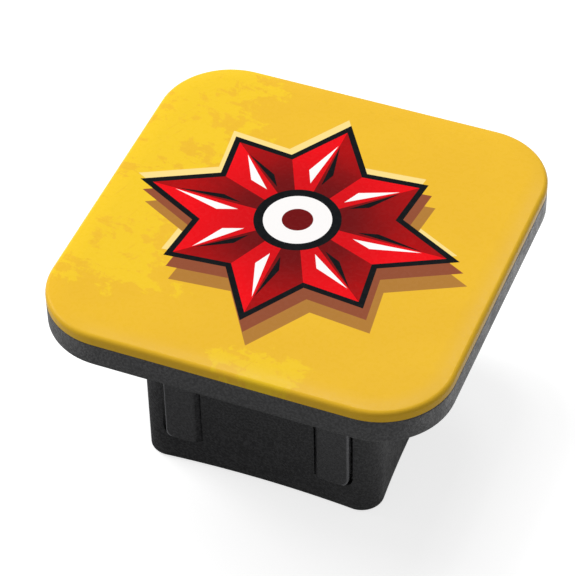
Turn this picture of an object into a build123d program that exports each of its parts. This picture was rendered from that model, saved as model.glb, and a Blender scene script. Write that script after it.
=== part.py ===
"""Hitch receiver cover, in millimetres.

A moulded plate carries a hollow square plug with four spring tabs, and a crowned printed face
lies on the plate. The origin is the centre of the plug's open end, on which the cover stands,
with +Z up through the printed face and the two tabs that show in use on the -Y wall.
"""
import os
from math import acos, cos, degrees, pi, sin

from build123d import *

# Plate: the rounded square that covers the mouth of the receiver tube
PLATE = 80.0
PLATE_CORNER = 14.4
PLATE_THICK = 5.7
PLATE_LOWER_ROUND = 1.0
PLATE_UPPER_BEVEL = 0.35

# Plug: enters a 50.8 mm square tube, its walls bowed in a little at the open end
PLUG = 48.8
PLUG_CORNER = 4.5
PLUG_DEPTH = 38.8
PLUG_WALL = 2.4
PLUG_BOW = 0.8
PLUG_BOW_AT_PLATE = 0.01
END_BEVEL = 0.5
PLATE_SKIN = 3.0

# Spring tabs: two in each of the -Y and +Y walls, mirrored about the middle
TAB_INNER = 12.8
TAB_OUTER = 19.05
TAB_FOOT = 7.0
TAB_TOP = 33.6
TAB_PROUD = 0.7
TAB_THICK = 1.8
TAB_CORNER = 2.1
TAB_EDGE_ROUND = 0.6
SLIT = 0.7
TOP_GAP = 1.4
GROOVE_WIDTH = 1.1
GROOVE_DEPTH = 0.8
GROOVE_CREST_ROUND = 0.8
HINGE_LAND = 0.8

# Printed face: an upright edge, a rounded shoulder and a shallow crown up to the flat
FACE_EDGE = 1.2
FACE_SHOULDER = 1.0
FACE_CROWN_RISE = 0.3
FACE_CROWN_RUN = 3.5

# Print: an eight-pointed compass star with a hub, a light edge and two offset shadows
INK = 0.15
STAR_CENTRE = (-1.5, 2.0)
STAR_HALF_WIDTH = 30.0
STAR_HALF_HEIGHT = 26.5
STAR_POINTS = 8
SHORT_POINT = 0.88
NOTCH = 0.63
OUTLINE = 1.2
HUB_RADIUS = 8.4
HUB_RING = 1.8
HUB_DOT = 3.0
LIGHT_EDGE_SHIFT = (-1.0, 1.4)
NEAR_SHADOW_SHIFT = (1.6, -2.6)
FAR_SHADOW_SHIFT = (3.4, -5.6)
SLIVER_FROM = 0.40
SLIVER_BELLY = 0.14
SLIVER_TO = 0.84
GLINT_INSET = 0.20
GLINT_WIDTH = 0.22
CREASE_INSET = 0.10
CREASE_WIDTH = 0.16

# Heights that follow from the sizes above
PLATE_TOP = PLUG_DEPTH + PLATE_THICK
CROWN_RADIUS = (FACE_CROWN_RUN**2 + FACE_CROWN_RISE**2) / (2 * FACE_CROWN_RISE)
CROWN_SLOPE = acos(1 - FACE_CROWN_RISE / CROWN_RADIUS)
SHOULDER_IN = FACE_SHOULDER * (1 - sin(CROWN_SLOPE))
SHOULDER_UP = FACE_EDGE + FACE_SHOULDER * cos(CROWN_SLOPE)
FLAT_INSET = SHOULDER_IN + FACE_CROWN_RUN
FACE_THICK = SHOULDER_UP + FACE_CROWN_RISE
FACE_TOP = PLATE_TOP + FACE_THICK


def rounded_square(size, radius):
    """A flat square with rounded corners, centred on the origin."""
    return RectangleRounded(size, size, radius)


def plate():
    """The solid plate, with a rounded lower edge and a fine bevel along the upper one."""
    body = Pos(0, 0, PLUG_DEPTH) * extrude(rounded_square(PLATE, PLATE_CORNER), PLATE_THICK)
    body = fillet(body.faces().sort_by(Axis.Z)[0].edges(), PLATE_LOWER_ROUND)
    return chamfer(body.faces().sort_by(Axis.Z)[-1].edges(), PLATE_UPPER_BEVEL)


def bow_section(wall, bow):
    """The sliver between a straight wall, at its distance from the middle, and the bowed one."""
    half = PLUG / 2 - PLUG_CORNER
    straight = Polyline((half, -wall), (half, -wall - PLUG_WALL), (-half, -wall - PLUG_WALL), (-half, -wall))
    bowed = ThreePointArc((-half, -wall), (0, bow - wall), (half, -wall))
    return make_face([straight, bowed])


def bowed_box(inset):
    """A square tube's form whose four walls bow in towards the open end."""
    wall = PLUG / 2 - inset
    box = extrude(rounded_square(2 * wall, PLUG_CORNER - inset), PLUG_DEPTH)
    root = Pos(0, 0, PLUG_DEPTH) * bow_section(wall, PLUG_BOW_AT_PLATE)
    bow = loft([bow_section(wall, PLUG_BOW), root], ruled=True)
    for quarter in range(4):
        box -= Rot(0, 0, 90 * quarter) * bow
    return box


def plug_outside():
    """The plug as a solid, bevelled round its open end to lead it into the tube."""
    foot = rounded_square(PLUG, PLUG_CORNER)
    for quarter in range(4):
        foot -= Rot(0, 0, 90 * quarter) * bow_section(PLUG / 2, PLUG_BOW)
    depth = 2 * END_BEVEL
    lead_in = extrude(offset(foot, -END_BEVEL), depth, taper=-45)
    return bowed_box(0) - (extrude(rounded_square(PLUG + depth, PLUG_CORNER), depth) - lead_in)


def plug_hollow():
    """The space inside the plug, which runs on into the plate to leave an even skin."""
    inner = PLUG - 2 * PLUG_WALL
    core = extrude(rounded_square(inner, PLUG_CORNER - PLUG_WALL), PLATE_THICK - PLATE_SKIN)
    return bowed_box(PLUG_WALL) + Pos(0, 0, PLUG_DEPTH) * core


def wall_sketch(x_low, x_high, z_low, z_high, corner=0.0):
    """A rectangle on the upright middle plane, its lower outer corner rounded."""
    sketch = Pos((x_low + x_high) / 2, (z_low + z_high) / 2) * Rectangle(x_high - x_low, z_high - z_low)
    if corner:
        sketch = fillet(sketch.vertices().sort_by(Axis.Y)[:2].sort_by(Axis.X)[-1], corner)
    return sketch


def through_wall(sketch, low, high):
    """Extrude a sketch of the -Y wall between two distances from the plug's middle."""
    return extrude(Plane.XZ.offset(low) * sketch, high - low)


def tab_pad():
    """The tab's body: three outlines crossed, so that its front edges and lower end are rounded."""
    front = -PLUG / 2 - TAB_PROUD
    middle = front + TAB_THICK / 2
    inner = TAB_INNER - GROOVE_WIDTH
    width = TAB_OUTER - inner
    height = TAB_TOP - TAB_FOOT
    plan = Pos((inner + TAB_OUTER) / 2, middle) * Rectangle(width, TAB_THICK)
    plan = fillet(plan.vertices().sort_by(Axis.Y)[:2].sort_by(Axis.X)[-1], TAB_EDGE_ROUND)
    side = Pos(middle, TAB_FOOT + height / 2) * Rectangle(TAB_THICK, height)
    side = fillet(side.vertices().sort_by(Axis.Y)[:2].sort_by(Axis.X)[0], TAB_EDGE_ROUND)
    outline = wall_sketch(inner, TAB_OUTER, TAB_FOOT, TAB_TOP, TAB_CORNER)
    return (
        Pos(0, 0, TAB_FOOT) * extrude(plan, height)
        & extrude(Plane.YZ.offset(inner) * side, width)
        & through_wall(outline, -middle - TAB_THICK, -middle + TAB_THICK)
    )


def tab_slit():
    """The slit that frees the tab's outer edge and turns in under its lower corner."""
    outer = wall_sketch(TAB_INNER, TAB_OUTER + SLIT, TAB_FOOT - SLIT, TAB_TOP + TOP_GAP, TAB_CORNER + SLIT)
    inner = wall_sketch(TAB_INNER - SLIT, TAB_OUTER, TAB_FOOT, TAB_TOP, TAB_CORNER)
    turned_end = TAB_OUTER - TAB_CORNER / 2
    reach = wall_sketch(turned_end, PLUG / 2, 0, PLUG_DEPTH)
    above = wall_sketch(TAB_INNER, PLUG / 2, TAB_TOP, PLUG_DEPTH)
    return through_wall((outer - inner) & (reach + above), PLUG / 2 - 2 * PLUG_WALL, PLUG / 2 + PLUG_WALL)


def tab_groove():
    """The groove along the tab's inner edge: a step down in the wall, then a slope up to the pad."""
    wall = PLUG / 2
    front = -wall - TAB_PROUD
    step = TAB_INNER - GROOVE_WIDTH
    section = make_face(Polyline(
        (step, GROOVE_DEPTH - wall), (step, -wall - PLUG_WALL), (TAB_OUTER, -wall - PLUG_WALL),
        (TAB_OUTER, front), (TAB_INNER, front), close=True,
    ))
    crest = section.vertices().sort_by_distance((TAB_INNER, front, 0))[0]
    length = TAB_TOP + TOP_GAP - TAB_FOOT
    return Pos(0, 0, TAB_FOOT) * extrude(fillet(crest, GROOVE_CREST_ROUND), length)


def tab_relief():
    """The pocket behind the tab, which thins it from inside the plug."""
    sketch = wall_sketch(TAB_INNER + HINGE_LAND, TAB_OUTER + SLIT / 2, TAB_FOOT + TAB_CORNER, TAB_TOP + SLIT)
    back = PLUG / 2 + TAB_PROUD - TAB_THICK
    return through_wall(sketch, PLUG / 2 - 2 * PLUG_WALL, back)


def four_times(shape):
    """The same shape at each of the four tabs."""
    pair = shape + mirror(shape, Plane.YZ)
    return pair + Rot(0, 0, 180) * pair


def moulded_body():
    """The plate, the plug and its spring tabs, moulded in one piece."""
    body = plate() + plug_outside() + four_times(tab_pad()) - plug_hollow()
    cuts = tab_slit() + tab_groove() + tab_relief()
    return body - four_times(cuts)


def face_edge_profile():
    """The section of the printed face from its outline in to where the top is flat."""
    slope_end = degrees(CROWN_SLOPE)
    edge = Line((0, 0), (0, FACE_EDGE))
    shoulder = CenterArc((-FACE_SHOULDER, FACE_EDGE), FACE_SHOULDER, 0, 90 - slope_end)
    crown = CenterArc((-FLAT_INSET, FACE_THICK - CROWN_RADIUS), CROWN_RADIUS, 90 - slope_end, slope_end)
    back = Polyline((-FLAT_INSET, FACE_THICK), (-FLAT_INSET, 0), (0, 0))
    return make_face([edge, shoulder, crown, back])


def printed_blank():
    """The crowned printed face before its coloured fields are let in."""
    outline = rounded_square(PLATE, PLATE_CORNER).wire()
    start = Plane(origin=(PLATE / 2, 0, 0), x_dir=(1, 0, 0), z_dir=(0, -1, 0))
    ring = sweep(start * face_edge_profile(), path=outline)
    middle = extrude(rounded_square(PLATE - 2 * FLAT_INSET, PLATE_CORNER - FLAT_INSET), FACE_THICK)
    return Pos(0, 0, PLATE_TOP) * (ring + middle)


def star_point(step, reach):
    """A place on the star's oval: step counts sixteenths of a turn from the +X point."""
    angle = step * pi / STAR_POINTS
    x = STAR_CENTRE[0] + STAR_HALF_WIDTH * reach * cos(angle)
    y = STAR_CENTRE[1] + STAR_HALF_HEIGHT * reach * sin(angle)
    return (x, y)


def tip_reach(step):
    """Long points lie along X and Y, and short ones between them."""
    return 1.0 if step % 4 == 0 else SHORT_POINT


def facet(step, side):
    """One half of a point: the triangle between the hub, the tip and the notch beside it."""
    return make_face(Polyline(
        STAR_CENTRE, star_point(step, tip_reach(step)), star_point(step + side, NOTCH), close=True,
    ))


def sliver(step, side, inset, width):
    """A slim wedge on a facet, set in from the ridge that it follows towards the tip."""
    tip = Vector(*star_point(step, tip_reach(step)))
    notch = Vector(*star_point(step + side, NOTCH))
    middle = Vector(*STAR_CENTRE)
    along = tip - middle
    across = notch - middle - along * NOTCH
    root = middle + along * SLIVER_FROM + across * inset
    end = middle + along * SLIVER_TO + across * inset * (1 - SLIVER_TO)
    belly = middle + along * (SLIVER_FROM + SLIVER_BELLY) + across * (inset + width)
    return make_face(Polyline(root, end, belly, close=True))


def print_fields():
    """The print as flat fields of colour that tile without overlapping."""
    tips = range(0, 2 * STAR_POINTS, 2)
    lit = [(step, 1 if 2 <= step <= 8 else -1) for step in tips]
    hub = Pos(*STAR_CENTRE) * Circle(HUB_RADIUS)
    hub_face = Pos(*STAR_CENTRE) * Circle(HUB_RADIUS - HUB_RING)
    dot = Pos(*STAR_CENTRE) * Circle(HUB_DOT)
    bright = Sketch() + [facet(step, side) for step, side in lit]
    dark = Sketch() + [facet(step, -side) for step, side in lit]
    glints = Sketch() + [sliver(step, side, GLINT_INSET, GLINT_WIDTH) for step, side in lit]
    creases = Sketch() + [sliver(step, -side, CREASE_INSET, CREASE_WIDTH) for step, side in lit]
    star = bright + dark
    outline = offset(star, OUTLINE, kind=Kind.INTERSECTION)
    near = Pos(*NEAR_SHADOW_SHIFT) * outline
    far = Pos(*FAR_SHADOW_SHIFT) * outline
    light = Pos(*LIGHT_EDGE_SHIFT) * outline
    return {
        "print_red": bright - hub - glints,
        "print_dark_red": dark - hub - creases + dot,
        "print_black": outline - star + (hub - hub_face) + (creases - hub),
        "print_white": (glints - hub) + (hub_face - dot),
        "print_near_shadow": near - outline,
        "print_far_shadow": far - near - outline,
        "print_light_edge": light - outline - near - far,
    }


def build():
    """Every piece by its node's name."""
    fields = print_fields()
    films = {
        name: Pos(0, 0, FACE_TOP - INK) * extrude(field, INK)
        for name, field in fields.items()
    }
    printed_face = printed_blank()
    for film in films.values():
        printed_face -= film
    return {"moulded_body": moulded_body(), "printed_face": printed_face, **films}


def main():
    """Write one STEP file for each piece."""
    os.makedirs("parts", exist_ok=True)
    for name, shape in build().items():
        export_step(shape, f"parts/{name}.step")


if __name__ == "__main__":
    main()
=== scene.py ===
"""Hitch receiver cover: finishes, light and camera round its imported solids.

Everything is in metres in the frame of the solids. The cover stands on its plug's open end, with +Z
up out of the printed face and the two spring tabs that show in use on the -Y wall.
"""

import logging
from collections.abc import Callable
from dataclasses import dataclass
from enum import Enum
from math import cos, radians, sin

import bpy
from mathutils import Matrix, Vector


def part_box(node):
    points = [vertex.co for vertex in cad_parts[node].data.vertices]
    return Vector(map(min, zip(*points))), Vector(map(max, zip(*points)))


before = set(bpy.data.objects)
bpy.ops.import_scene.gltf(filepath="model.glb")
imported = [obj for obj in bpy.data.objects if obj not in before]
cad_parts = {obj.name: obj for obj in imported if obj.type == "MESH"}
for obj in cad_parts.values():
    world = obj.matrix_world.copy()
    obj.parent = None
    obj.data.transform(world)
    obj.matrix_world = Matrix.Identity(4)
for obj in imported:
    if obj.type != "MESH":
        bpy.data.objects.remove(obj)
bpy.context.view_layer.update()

LOG = logging.getLogger("hitch_cover")
MM = 0.001
GLOSS_SPREAD = 0.03
Colour = tuple[float, float, float]
Triple = tuple[float, float, float]
Span = tuple[float, float]
WHITE: Colour = (1.0, 1.0, 1.0)
BLACK: Colour = (0.0, 0.0, 0.0)
ORIGIN: Triple = (0.0, 0.0, 0.0)


def rgba(colour: Colour) -> tuple[float, float, float, float]:
    """A linear colour with full alpha, as a node's colour socket takes it."""
    return (*colour, 1.0)


class Wiring:
    """Adds nodes to one node tree, and links them as they are added."""

    def __init__(self, tree: bpy.types.NodeTree) -> None:
        """Start on a tree.

        Args:
            tree: The material's, world's or group's node tree.
        """
        self.tree = tree

    def node(self, kind: str, inputs: dict | None = None, **settings: object) -> bpy.types.Node:
        """Add one node.

        Args:
            kind: Blender's name for the node type.
            inputs: A value, or the output to link, for each input by name or number.
            settings: Other properties to set on the node.

        Returns:
            The new node.
        """
        node = self.tree.nodes.new(kind)
        for name, value in settings.items():
            setattr(node, name, value)
        for name, value in (inputs or {}).items():
            if isinstance(value, bpy.types.NodeSocket):
                self.tree.links.new(value, node.inputs[name])
            else:
                node.inputs[name].default_value = value
        return node

    def noise(self, vector: bpy.types.NodeSocket, scale: float | bpy.types.NodeSocket,
              detail: float = 2.0, roughness: float = 0.5, distortion: float = 0.0) -> bpy.types.NodeSocket:
        """Fractal noise.

        Args:
            vector: The coordinates to read.
            scale: Features in a metre, as a number or an output.
            detail: Octaves of finer noise.
            roughness: How strong the finer octaves are.
            distortion: How far the noise warps itself.

        Returns:
            The noise value, around a half.
        """
        return self.node("ShaderNodeTexNoise", {
            "Vector": vector, "Scale": scale, "Detail": detail,
            "Roughness": roughness, "Distortion": distortion,
        }).outputs["Fac"]

    def ramp(self, value: bpy.types.NodeSocket, low: float, high: float,
             to_low: float = 0.0, to_high: float = 1.0) -> bpy.types.NodeSocket:
        """Ease a value from one range to another, held at both ends.

        Args:
            value: What to map.
            low: The value that gives to_low.
            high: The value that gives to_high.
            to_low: The result at and below low.
            to_high: The result at and above high.

        Returns:
            The mapped value.
        """
        return self.node("ShaderNodeMapRange", {
            "Value": value, "From Min": low, "From Max": high, "To Min": to_low, "To Max": to_high,
        }, interpolation_type="SMOOTHSTEP").outputs["Result"]

    def maths(self, operation: str, first: object, second: object = 0.0) -> bpy.types.NodeSocket:
        """Combine two numbers or outputs with one of Blender's maths operations.

        Args:
            operation: Blender's name for it, such as "MULTIPLY".
            first: A number or an output.
            second: A number or an output.

        Returns:
            The result.
        """
        return self.node("ShaderNodeMath", {0: first, 1: second}, operation=operation).outputs[0]

    def weighted(self, *terms: tuple[bpy.types.NodeSocket, float]) -> bpy.types.NodeSocket:
        """Add outputs up, each times its own share.

        Args:
            terms: Each output with its share.

        Returns:
            The sum.
        """
        total, *rest = [self.maths("MULTIPLY", value, share) for value, share in terms]
        for term in rest:
            total = self.maths("ADD", total, term)
        return total

    def axes(self, place: bpy.types.NodeSocket) -> bpy.types.bpy_prop_collection:
        """The X, Y and Z of coordinates, as outputs by those names."""
        return self.node("ShaderNodeSeparateXYZ", {0: place}).outputs

    def reach(self, place: bpy.types.NodeSocket, middle: Triple = ORIGIN) -> bpy.types.NodeSocket:
        """How far coordinates are from a middle point."""
        measured = self.node("ShaderNodeVectorMath", {0: place, 1: middle}, operation="DISTANCE")
        return measured.outputs["Value"]

    def mix(self, factor: object, first: object, second: object) -> bpy.types.NodeSocket:
        """Mix two colours.

        Args:
            factor: How much of the second, as a number or an output.
            first: A linear colour or an output.
            second: A linear colour or an output.

        Returns:
            The mixed colour.
        """
        sides = [rgba(side) if isinstance(side, tuple) else side for side in (first, second)]
        mixer = self.node("ShaderNodeMix", {0: factor, 6: sides[0], 7: sides[1]}, data_type="RGBA")
        return mixer.outputs[2]

    def stretched(self, vector: bpy.types.NodeSocket, scale: Triple, turn: float) -> bpy.types.NodeSocket:
        """Turn coordinates about Z and then stretch them.

        Args:
            vector: The coordinates.
            scale: Factor along each axis.
            turn: Turn about Z, in degrees.

        Returns:
            The new coordinates.
        """
        turned = self.node("ShaderNodeMapping", {"Vector": vector, "Rotation": (0, 0, radians(turn))})
        return self.node("ShaderNodeMapping", {"Vector": turned.outputs[0], "Scale": scale}).outputs[0]

    def send(self, result: bpy.types.Node, **values: bpy.types.NodeSocket) -> None:
        """Link each named value to the input of that name on a group's output node."""
        for name, value in values.items():
            self.tree.links.new(value, result.inputs[name])


def shader_group(name: str, inputs: dict[str, object], outputs: list[str],
                 wire: Callable[[Wiring, bpy.types.Node, bpy.types.Node], None]) -> bpy.types.NodeTree:
    """Make a shader node group.

    Args:
        name: The group's name.
        inputs: Each input's name and default; a default of three numbers makes a vector input.
        outputs: The names of its outputs, which are values.
        wire: Adds the nodes between the group's input and output nodes.

    Returns:
        The group.
    """
    tree = bpy.data.node_groups.new(name, "ShaderNodeTree")
    for label, default in inputs.items():
        kind = "NodeSocketVector" if isinstance(default, tuple) else "NodeSocketFloat"
        socket = tree.interface.new_socket(name=label, in_out="INPUT", socket_type=kind)
        socket.default_value = default
    for label in outputs:
        tree.interface.new_socket(name=label, in_out="OUTPUT", socket_type="NodeSocketFloat")
    wiring = Wiring(tree)
    wire(wiring, wiring.node("NodeGroupInput"), wiring.node("NodeGroupOutput"))
    return tree


@dataclass(frozen=True)
class FineGrain:
    """The grain group: Height for bump, Fleck for salt and pepper, Patch for broad mottling.

    Scales are in features to the metre; coarse_step and fleck_step are shares of the grain's own scale.
    """

    name: str = "fine_grain"
    grain_scale: float = 3000.0
    patch_scale: float = 120.0
    coarse_step: float = 0.45
    fleck_step: float = 0.8
    fine_share: float = 0.6
    coarse_share: float = 0.4
    fleck_span: Span = (0.35, 0.68)
    patch_span: Span = (0.36, 0.66)

    def group(self) -> bpy.types.NodeTree:
        """Make the group, with its default scales."""
        inputs = {"Vector": ORIGIN, "Grain Scale": self.grain_scale, "Patch Scale": self.patch_scale}
        return shader_group(self.name, inputs, ["Height", "Fleck", "Patch"], self.wire)

    def wire(self, wiring: Wiring, given: bpy.types.Node, result: bpy.types.Node) -> None:
        """Wire the group.

        Args:
            wiring: The group's wiring.
            given: Its input node, with Vector, Grain Scale and Patch Scale.
            result: Its output node.
        """
        vector, grain, patch = (given.outputs[name] for name in ("Vector", "Grain Scale", "Patch Scale"))
        fine = wiring.noise(vector, grain, detail=1.5, roughness=0.6)
        coarse = wiring.noise(vector, wiring.maths("MULTIPLY", grain, self.coarse_step), detail=1.0)
        height = wiring.weighted((fine, self.fine_share), (coarse, self.coarse_share))
        salt = wiring.noise(vector, wiring.maths("MULTIPLY", grain, self.fleck_step), detail=0.0)
        mottle = wiring.noise(vector, patch, detail=3.0, roughness=0.6, distortion=0.4)
        wiring.send(result, Height=height, Fleck=wiring.ramp(salt, *self.fleck_span),
                    Patch=wiring.ramp(mottle, *self.patch_span))


@dataclass(frozen=True)
class BrushedPatches:
    """The brushed patch group: Cover says where a pale layer was dabbed on, Scratch where it is cut.

    Scales are in features to the metre along X, Y and Z, after a turn about Z in degrees.
    """

    name: str = "brushed_patches"
    amount: float = 0.5
    dab_scale: float = 190.0
    stroke_scale: Triple = (80.0, 520.0, 60.0)
    stroke_turn: float = 12.0
    crossing_scale: Triple = (520.0, 90.0, 60.0)
    crossing_turn: float = -16.0
    hair_scale: Triple = (1500.0, 130.0, 60.0)
    hair_turn: float = 22.0
    dab_share: float = 0.55
    stroke_share: float = 0.3
    crossing_share: float = 0.15
    bare_threshold: float = 0.66
    threshold_drop: float = 0.22
    cover_span: Span = (-0.012, 0.035)
    scratch_span: Span = (0.67, 0.73)

    def group(self) -> bpy.types.NodeTree:
        """Make the group, with its default amount."""
        return shader_group(self.name, {"Vector": ORIGIN, "Amount": self.amount}, ["Cover", "Scratch"],
                            self.wire)

    def wire(self, wiring: Wiring, given: bpy.types.Node, result: bpy.types.Node) -> None:
        """Wire the group.

        Args:
            wiring: The group's wiring.
            given: Its input node, with Vector and Amount.
            result: Its output node.
        """
        vector, amount = given.outputs["Vector"], given.outputs["Amount"]
        dabs = wiring.noise(vector, self.dab_scale, detail=7.0, roughness=0.7, distortion=0.5)
        strokes = wiring.noise(wiring.stretched(vector, self.stroke_scale, self.stroke_turn), 1.0,
                               detail=4.0, roughness=0.65)
        crossing = wiring.noise(wiring.stretched(vector, self.crossing_scale, self.crossing_turn), 1.0,
                                detail=3.0, roughness=0.6)
        layered = wiring.weighted((dabs, self.dab_share), (strokes, self.stroke_share),
                                  (crossing, self.crossing_share))
        threshold = wiring.maths("SUBTRACT", self.bare_threshold,
                                 wiring.maths("MULTIPLY", amount, self.threshold_drop))
        cover = wiring.ramp(wiring.maths("SUBTRACT", layered, threshold), *self.cover_span)
        hairs = wiring.noise(wiring.stretched(vector, self.hair_scale, self.hair_turn), 1.0,
                             detail=2.0, distortion=0.3)
        wiring.send(result, Cover=cover, Scratch=wiring.ramp(hairs, *self.scratch_span))


class Effects:
    """The shader groups that the finishes share."""

    def __init__(self) -> None:
        """Make each group once."""
        self.grain = FineGrain().group()
        self.patches = BrushedPatches().group()


class Finish:
    """A material being wired: its coordinates, its shader and the shared grain."""

    def __init__(self, name: str, effects: Effects) -> None:
        """Make an empty material.

        Args:
            name: The material's name.
            effects: The shared groups.
        """
        self.material = bpy.data.materials.new(name)
        self.material.use_nodes = True
        self.material.node_tree.nodes.clear()
        self.effects = effects
        self.wiring = Wiring(self.material.node_tree)
        self.place = self.wiring.node("ShaderNodeTexCoord").outputs["Object"]

    def grain(self, grain_scale: float, patch_scale: float) -> bpy.types.Node:
        """Place the grain group with this finish's own scales, in features to the metre."""
        return self.wiring.node("ShaderNodeGroup", {
            "Vector": self.place, "Grain Scale": grain_scale, "Patch Scale": patch_scale,
        }, node_tree=self.effects.grain)

    def gloss(self, grain: bpy.types.Node, roughness: float) -> bpy.types.NodeSocket:
        """A roughness that the grain's flecks vary a little about its mean."""
        return self.wiring.ramp(grain.outputs["Fleck"], 0.0, 1.0,
                                roughness - GLOSS_SPREAD, roughness + GLOSS_SPREAD)

    def bump(self, height: bpy.types.NodeSocket, depth: float) -> bpy.types.NodeSocket:
        """A bumped normal whose full height is depth, in metres."""
        bump = self.wiring.node("ShaderNodeBump", {"Height": height, "Distance": depth})
        return bump.outputs["Normal"]

    def shade(self, colour: object, roughness: object, normal: bpy.types.NodeSocket,
              specular: float) -> bpy.types.Material:
        """Add the shader and the material's output.

        Args:
            colour: The base colour's output.
            roughness: A number or an output.
            normal: The bumped normal.
            specular: The specular level, a half for common plastic.

        Returns:
            The finished material.
        """
        shader = self.wiring.node("ShaderNodeBsdfPrincipled", {
            "Base Color": colour, "Roughness": roughness, "Normal": normal,
            "Specular IOR Level": specular,
        })
        self.wiring.node("ShaderNodeOutputMaterial", {"Surface": shader.outputs["BSDF"]})
        return self.material


@dataclass(frozen=True)
class MouldedPlastic:
    """Black plastic from a spark-eroded mould: sandy all over, with faint broad mottling, and a painted
    highlight on the spring tabs' outer edges and, faintly, over their faces.

    The tab sizes are those of the solids, across and up: middle, half width, corner and front.
    """

    name: str = "moulded_black_plastic"
    pit_colour: Colour = (0.005, 0.005, 0.006)
    peak_colour: Colour = (0.032, 0.032, 0.034)
    # Colour of the painted highlight on the spring tabs, and how much of it lies over their faces.
    painted_highlight_colour: Colour = (0.24, 0.24, 0.25)
    painted_face_lift: float = 0.1
    grain_scale: float = 2600.0
    patch_scale: float = 260.0
    grain_depth: float = 0.26 * MM
    patch_polish: float = 0.6
    fleck_polish: float = 0.4
    smooth_roughness: float = 0.3
    rough_roughness: float = 0.5
    specular: float = 0.5
    tab_middle: Span = (15.925 * MM, 20.3 * MM)
    tab_half: Span = (3.125 * MM, 13.3 * MM)
    tab_corner: float = 2.1 * MM
    tab_front: float = 24.5 * MM
    highlight_width: float = 0.55 * MM

    def material(self, effects: Effects) -> bpy.types.Material:
        """Make the material.

        Args:
            effects: The shared groups.

        Returns:
            The material.
        """
        finish = Finish(self.name, effects)
        grain = finish.grain(self.grain_scale, self.patch_scale)
        wiring = finish.wiring
        moulded = wiring.mix(grain.outputs["Fleck"], self.pit_colour, self.peak_colour)
        # Painted highlight: the tabs' outer edges, and a little of their faces, are mixed towards pale
        # grey.
        colour = wiring.mix(self.painted_tab_highlight(wiring, finish.place), moulded, self.painted_highlight_colour)
        polish = wiring.weighted((grain.outputs["Patch"], self.patch_polish),
                                 (grain.outputs["Fleck"], self.fleck_polish))
        roughness = wiring.ramp(polish, 0.0, 1.0, self.rough_roughness, self.smooth_roughness)
        normal = finish.bump(grain.outputs["Height"], self.grain_depth)
        return finish.shade(colour, roughness, normal, self.specular)

    def painted_tab_highlight(self, wiring: Wiring, place: bpy.types.NodeSocket) -> bpy.types.NodeSocket:
        """Painted highlight: 1 on the outer edge of a spring tab, a little on its face and 0 elsewhere.

        Args:
            wiring: The material's wiring.
            place: Object coordinates.

        Returns:
            The mask.
        """
        axes = wiring.axes(place)
        across, deep = (wiring.maths("ABSOLUTE", axes[name]) for name in ("X", "Y"))
        past = []
        for position, middle, half in zip((across, axes["Z"]), self.tab_middle, self.tab_half):
            offset = wiring.maths("ABSOLUTE", wiring.maths("SUBTRACT", position, middle))
            beyond = wiring.maths("SUBTRACT", offset, half - self.tab_corner)
            past.append(wiring.maths("MAXIMUM", beyond, 0.0))
        corner = wiring.node("ShaderNodeCombineXYZ", {"X": past[0], "Y": past[1]}).outputs[0]
        outline = wiring.reach(corner)
        edge = wiring.ramp(outline, self.tab_corner - self.highlight_width, self.tab_corner)
        outer = wiring.ramp(across, self.tab_middle[0], self.tab_middle[0] + self.tab_half[0] / 2)
        highlighted = wiring.maths("MAXIMUM", wiring.maths("MULTIPLY", edge, outer), self.painted_face_lift)
        on_tab = wiring.ramp(outline, self.tab_corner, self.tab_corner + self.highlight_width, 1.0, 0.0)
        proud = wiring.ramp(deep, self.tab_front - self.highlight_width / 2, self.tab_front)
        return wiring.maths("MULTIPLY", highlighted, wiring.maths("MULTIPLY", on_tab, proud))


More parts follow.
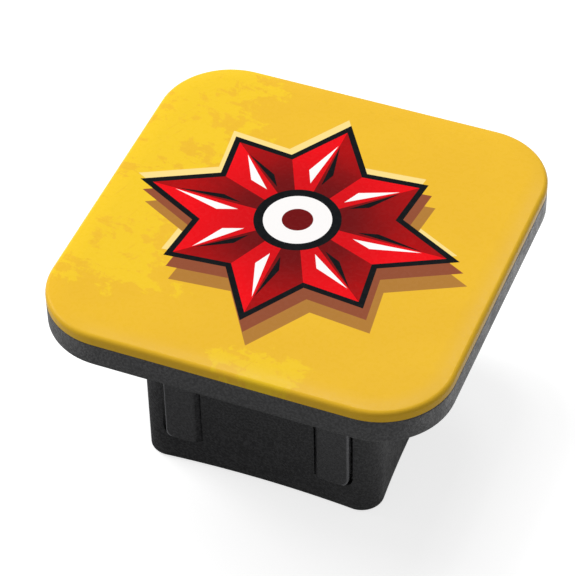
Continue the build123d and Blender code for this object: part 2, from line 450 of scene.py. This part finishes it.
@dataclass(frozen=True)
class BrushedYellow:
    """The printed ground: warm yellow, with a paler layer dabbed on at the left and at the front edge.

    The layer thins out over left_fade and front_fade, and round dab_middle over dab_fade.
    """

    name: str = "printed_yellow"
    ground: Colour = (0.84, 0.498, 0.027)
    deep: Colour = (0.822, 0.482, 0.026)
    pale: Colour = (0.875, 0.57, 0.022)
    grain_scale: float = 1500.0
    patch_scale: float = 60.0
    grain_depth: float = 0.004 * MM
    roughness: float = 0.3
    specular: float = 0.08
    thin_layer: Span = (0.05, 0.45)
    scratch_depth: float = 0.7
    left_fade: Span = (-32.0 * MM, 0.0)
    front_fade: Span = (-38.0 * MM, -22.0 * MM)
    dab_middle: Triple = (6.0 * MM, -37.0 * MM, 0.0)
    dab_squash: Triple = (1.0, 1.8, 0.0)
    dab_fade: Span = (5.0 * MM, 15.0 * MM)

    def material(self, effects: Effects) -> bpy.types.Material:
        """Make the material.

        Args:
            effects: The shared groups.

        Returns:
            The material.
        """
        finish = Finish(self.name, effects)
        wiring = finish.wiring
        grain = finish.grain(self.grain_scale, self.patch_scale)
        amount = self.amount(wiring, finish.place)
        patches = wiring.node("ShaderNodeGroup", {"Vector": finish.place, "Amount": amount},
                              node_tree=effects.patches)
        ground = wiring.mix(grain.outputs["Patch"], self.deep, self.ground)
        shown = wiring.maths("MULTIPLY", patches.outputs["Cover"], wiring.ramp(amount, *self.thin_layer))
        cut = wiring.maths("MULTIPLY", patches.outputs["Scratch"], self.scratch_depth)
        shown = wiring.maths("MULTIPLY", shown, wiring.maths("SUBTRACT", 1.0, cut))
        colour = wiring.mix(shown, ground, self.pale)
        normal = finish.bump(grain.outputs["Height"], self.grain_depth)
        return finish.shade(colour, finish.gloss(grain, self.roughness), normal, self.specular)

    def amount(self, wiring: Wiring, place: bpy.types.NodeSocket) -> bpy.types.NodeSocket:
        """How thickly the pale layer lies, from 0 to 1: over the left third, and a dab at the front edge.

        Args:
            wiring: The material's wiring.
            place: Object coordinates.

        Returns:
            The amount.
        """
        axes = wiring.axes(place)
        left = wiring.maths("MULTIPLY", wiring.ramp(axes["X"], *self.left_fade, 1.0, 0.0),
                            wiring.ramp(axes["Y"], *self.front_fade))
        away = wiring.node("ShaderNodeVectorMath", {0: place, 1: self.dab_middle}, operation="SUBTRACT")
        squashed = wiring.node("ShaderNodeVectorMath", {0: away.outputs[0], 1: self.dab_squash},
                               operation="MULTIPLY")
        dab = wiring.ramp(wiring.reach(squashed.outputs[0]), *self.dab_fade, 1.0, 0.0)
        return wiring.maths("MAXIMUM", left, dab)


@dataclass(frozen=True)
class PrintedInk:
    """One colour of the print: an even ink that deepens a little towards the hub of the star."""

    name: str
    colour: Colour
    deep: Colour
    hub: Triple = (-1.5 * MM, 2.0 * MM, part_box("print_white")[1][2])
    fade: Span = (9.0 * MM, 24.0 * MM)
    mottle: Span = (0.8, 1.0)
    grain_scale: float = 1500.0
    patch_scale: float = 150.0
    grain_depth: float = 0.004 * MM
    roughness: float = 0.26
    specular: float = 0.05

    def material(self, effects: Effects) -> bpy.types.Material:
        """Make the material.

        Args:
            effects: The shared groups.

        Returns:
            The material.
        """
        finish = Finish(self.name, effects)
        wiring = finish.wiring
        grain = finish.grain(self.grain_scale, self.patch_scale)
        outward = wiring.ramp(wiring.reach(finish.place, self.hub), *self.fade)
        mottle = wiring.ramp(grain.outputs["Patch"], 0.0, 1.0, *self.mottle)
        colour = wiring.mix(wiring.maths("MULTIPLY", outward, mottle), self.deep, self.colour)
        normal = finish.bump(grain.outputs["Height"], self.grain_depth)
        return finish.shade(colour, finish.gloss(grain, self.roughness), normal, self.specular)


class Ink(Enum):
    """The inks of the print, each with its node, its slot in the record and its finish."""

    RED = ("print_red", "ink_red",
           PrintedInk("bright_red_ink", (0.87, 0.003, 0.008), (0.66, 0.003, 0.007)))
    DARK_RED = ("print_dark_red", "ink_dark_red",
                PrintedInk("dark_red_ink", (0.42, 0.002, 0.003), (0.15, 0.002, 0.003)))
    OUTLINE = ("print_black", "ink_black",
               PrintedInk("black_ink", (0.001, 0.0025, 0.004), (0.001, 0.002, 0.003)))
    WHITE = ("print_white", "ink_white",
             PrintedInk("white_ink", (0.98, 0.97, 0.97), (0.93, 0.91, 0.9)))
    NEAR_SHADOW = ("print_near_shadow", "ink_brown",
                   PrintedInk("brown_ink", (0.285, 0.077, 0.034), (0.27, 0.072, 0.032)))
    FAR_SHADOW = ("print_far_shadow", "ink_tan",
                  PrintedInk("tan_ink", (0.44, 0.2, 0.038), (0.42, 0.19, 0.036)))
    LIGHT_EDGE = ("print_light_edge", "ink_cream",
                  PrintedInk("cream_ink", (0.94, 0.72, 0.26), (0.91, 0.69, 0.24)))

    def __init__(self, node: str, slot: str, finish: PrintedInk) -> None:
        """Name the parts of a member.

        Args:
            node: The film's node.
            slot: Its material slot in the record.
            finish: Its ink.
        """
        self.node = node
        self.slot = slot
        self.finish = finish


def dress(piece: bpy.types.Object, material: bpy.types.Material) -> None:
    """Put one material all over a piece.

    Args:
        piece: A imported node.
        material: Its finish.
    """
    if not piece.material_slots:
        piece.data.materials.append(material)
    for material_slot in piece.material_slots:
        material_slot.material = material


@dataclass
class MouldedBody:
    """The plate, the plug and its four spring tabs, moulded in one piece."""

    node: str = "moulded_body"
    slot: str = "body_plastic"
    finish: MouldedPlastic = MouldedPlastic()

    def build(self, effects: Effects) -> bpy.types.Object:
        """Dress the body.

        Args:
            effects: The shared groups.

        Returns:
            The body.
        """
        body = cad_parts[self.node]
        dress(body, self.finish.material(effects))
        return body


@dataclass
class PrintedFace:
    """The crowned face and the films of ink let into it."""

    node: str = "printed_face"
    slot: str = "face_yellow"
    ground: BrushedYellow = BrushedYellow()

    def build(self, effects: Effects) -> list[bpy.types.Object]:
        """Dress the face and each film.

        Args:
            effects: The shared groups.

        Returns:
            The face and its films.
        """
        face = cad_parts[self.node]
        dress(face, self.ground.material(effects))
        films = []
        for ink in Ink:
            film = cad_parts[ink.node]
            dress(film, ink.finish.material(effects))
            films.append(film)
        return [face, *films]


@dataclass(frozen=True)
class Softbox:
    """A square soft lamp, with its place and width in metres and its power in watts."""

    name: str
    place: Triple
    width: float
    power: float

    def build(self, aim: Vector) -> bpy.types.Object:
        """Hang the lamp.

        Args:
            aim: The point that it faces.

        Returns:
            The lamp.
        """
        lamp = bpy.data.lights.new(self.name, "AREA")
        lamp.shape, lamp.size, lamp.energy = "SQUARE", self.width, self.power
        holder = bpy.data.objects.new(self.name, lamp)
        bpy.context.scene.collection.objects.link(holder)
        holder.location = self.place
        holder.rotation_euler = (aim - Vector(self.place)).to_track_quat("-Z", "Y").to_euler()
        return holder


def ray_kinds(wiring: Wiring) -> tuple[bpy.types.NodeSocket, bpy.types.NodeSocket]:
    """Two switches: 1 on rays from the camera, and 1 on those from a reflection or a clear material.

    Args:
        wiring: The stage material's or the world's wiring.

    Returns:
        The two switches, both 0 on rays that light a matt surface.
    """
    path = wiring.node("ShaderNodeLightPath").outputs
    mirrored = wiring.maths("MAXIMUM", path["Is Glossy Ray"], path["Is Transmission Ray"])
    return path["Is Camera Ray"], mirrored


@dataclass
class Studio:
    """A plain pale floor, a white surround and soft lamps.

    A reflection sees the floor at painted levels of its own, not its lit shading: a painted shadow of the
    cover at painted_shadow_level up to painted_shadow_reach from painted_shadow_middle and far_level past
    far_reach, times left_share to the left, with a painted bright band of painted_right_glow added at the
    far right.
    """

    floor_width: float = 4.0
    floor_colour: Colour = (0.52, 0.52, 0.52)
    floor_shade: Colour = (0.5148, 0.5148, 0.5148)
    shade_scale: float = 14.0
    shade_span: Span = (0.2, 0.8)
    floor_glow: float = 0.74
    foot: float = 20.0 * MM
    foot_blend: float = 3.0 * MM
    painted_shadow_middle: Triple = (-20.0 * MM, 5.0 * MM, 0.0)
    painted_shadow_reach: float = 33.0 * MM
    far_reach: float = 110.0 * MM
    painted_shadow_level: float = 0.15
    far_level: float = 0.72
    left_from: float = -35.0 * MM
    left_full: float = -75.0 * MM
    left_share: float = 1.8
    right_from: float = 38.0 * MM
    right_full: float = 84.0 * MM
    painted_right_glow: float = 0.7
    right_lean: float = 0.4
    surround: float = 0.28
    aim_height: float = 0.03
    lamps: tuple[Softbox, ...] = (
        Softbox("key_lamp", (-1.8, 0.22, 1.5), 1.35, 34.5),
        Softbox("front_edge_lamp", (-0.26, 0.35, 0.95), 0.18, 2.1),
        Softbox("corner_edge_lamp", (-0.07, 0.48, 0.98), 0.18, 1.5),
        Softbox("right_edge_lamp", (0.06, 0.7, 0.85), 0.18, 1.6),
    )

    def build(self) -> None:
        """Lay the floor, light the surround and hang the lamps."""
        bpy.ops.object.select_all(action="DESELECT")
        bpy.ops.mesh.primitive_plane_add(size=self.floor_width)
        floor = bpy.context.active_object
        floor.name = "studio_floor"
        floor.data.materials.append(self.floor_material())
        self.light_surround()
        for lamp in self.lamps:
            lamp.build(Vector((0, 0, self.aim_height)))

    def floor_material(self) -> bpy.types.Material:
        """Matt pale floor, lifted to white where it is seen; a reflection sees only its painted mirrored
        level, not its lit shading.
        """
        material = bpy.data.materials.new("pale_floor")
        material.use_nodes = True
        wiring = Wiring(material.node_tree)
        wiring.tree.nodes.clear()
        place = wiring.node("ShaderNodeTexCoord").outputs["Object"]
        tone = wiring.ramp(wiring.noise(place, self.shade_scale, detail=3.0), *self.shade_span)
        colour = wiring.mix(tone, self.floor_shade, self.floor_colour)
        camera, mirrored = ray_kinds(wiring)
        matt = wiring.node("ShaderNodeBsdfDiffuse", {"Color": wiring.mix(mirrored, colour, BLACK)})
        lifted = wiring.maths("MULTIPLY", self.beyond_foot(wiring, place), self.floor_glow)
        seen = wiring.maths("MULTIPLY", camera, lifted)
        # Reflections see the painted levels in place of the floor's lit shading.
        reflected = wiring.maths("MULTIPLY", mirrored, self.mirrored_level(wiring, place))
        glow = wiring.node("ShaderNodeEmission", {
            "Color": rgba(WHITE), "Strength": wiring.maths("ADD", seen, reflected),
        })
        shader = wiring.node("ShaderNodeAddShader", {0: matt.outputs[0], 1: glow.outputs[0]})
        wiring.node("ShaderNodeOutputMaterial", {"Surface": shader.outputs[0]})
        return material

    def mirrored_level(self, wiring: Wiring, place: bpy.types.NodeSocket) -> bpy.types.NodeSocket:
        """How bright a reflection sees the floor, all painted: a painted shadow of the cover round the
        plug, paler outwards, brighter to the left and a painted bright band at the right.

        Args:
            wiring: The floor's wiring.
            place: Object coordinates of the floor.

        Returns:
            The level, 1 for white.
        """
        # Painted shadow of the cover: dim round the plug, paler outwards.
        outward = wiring.ramp(wiring.reach(place, self.painted_shadow_middle), self.painted_shadow_reach, self.far_reach,
                              self.painted_shadow_level, self.far_level)
        axes = wiring.axes(place)
        # Painted brighter floor to the left and a painted bright band to the right, seen only in
        # reflections.
        left = wiring.ramp(axes["X"], self.left_full, self.left_from, self.left_share, 1.0)
        leaning = wiring.maths("ADD", axes["X"], wiring.maths("MULTIPLY", axes["Y"], self.right_lean))
        right = wiring.ramp(leaning, self.right_from, self.right_full, 0.0, self.painted_right_glow)
        return wiring.maths("ADD", wiring.maths("MULTIPLY", outward, left), right)

    def beyond_foot(self, wiring: Wiring, place: bpy.types.NodeSocket) -> bpy.types.NodeSocket:
        """0 on the floor inside the plug's square foot, rising to 1 just past it.

        Args:
            wiring: The floor's wiring.
            place: Object coordinates of the floor.

        Returns:
            The mask.
        """
        axes = wiring.axes(place)
        across = [wiring.maths("ABSOLUTE", axes[name]) for name in ("X", "Y")]
        return wiring.ramp(wiring.maths("MAXIMUM", *across), self.foot, self.foot + self.foot_blend)

    def light_surround(self) -> None:
        """White where the camera or a reflection sees it, and a softer fill on everything else."""
        world = bpy.data.worlds.new("studio_surround")
        bpy.context.scene.world = world
        world.use_nodes = True
        wiring = Wiring(world.node_tree)
        wiring.tree.nodes.clear()
        strength = wiring.ramp(wiring.maths("ADD", *ray_kinds(wiring)), 0.0, 1.0, self.surround, 1.0)
        glow = wiring.node("ShaderNodeBackground", {"Color": rgba(WHITE), "Strength": strength})
        wiring.node("ShaderNodeOutputWorld", {"Surface": glow.outputs[0]})


@dataclass(frozen=True)
class PhotoCamera:
    """The camera: angles in degrees round the middle of the plate's top, and lens and sensor in mm.

    aim_right and aim_up shift the picture off that middle.
    """

    azimuth: float = 22.83
    elevation: float = 44.78
    roll: float = -1.41
    distance: float = 527.6 * MM
    aim_right: float = -2.5 * MM
    aim_up: float = -9.53 * MM
    lens: float = 173.6
    sensor: float = 36.0

    def build(self, middle: Vector) -> bpy.types.Object:
        """Place the camera and make it the scene's.

        Args:
            middle: The middle of the plate's top.

        Returns:
            The camera.
        """
        turn, lift, roll = radians(self.azimuth), radians(self.elevation), radians(self.roll)
        back = Vector((sin(turn) * cos(lift), -cos(turn) * cos(lift), sin(lift)))
        level = Vector((0, 0, 1)).cross(back).normalized()
        upright = back.cross(level)
        right = level * cos(roll) + upright * sin(roll)
        up = upright * cos(roll) - level * sin(roll)
        camera = bpy.data.cameras.new("photo_camera")
        camera.lens, camera.sensor_width = self.lens, self.sensor
        holder = bpy.data.objects.new("photo_camera", camera)
        bpy.context.scene.collection.objects.link(holder)
        place = middle + right * self.aim_right + up * self.aim_up + back * self.distance
        holder.matrix_world = Matrix.Translation(place) @ Matrix((right, up, back)).transposed().to_4x4()
        bpy.context.scene.camera = holder
        return holder


def main() -> None:
    """Dress the cover, light it and place the camera."""
    logging.basicConfig(level=logging.INFO, format="%(name)s: %(message)s")
    bpy.context.scene.view_settings.view_transform = "Standard"
    effects = Effects()
    body = MouldedBody().build(effects)
    LOG.info("dressed %s", body.name)
    for piece in PrintedFace().build(effects):
        LOG.info("dressed %s", piece.name)
    Studio().build()
    plate_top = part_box("moulded_body")[1].z
    PhotoCamera().build(Vector((0, 0, plate_top)))


if __name__ == "__main__":
    main()
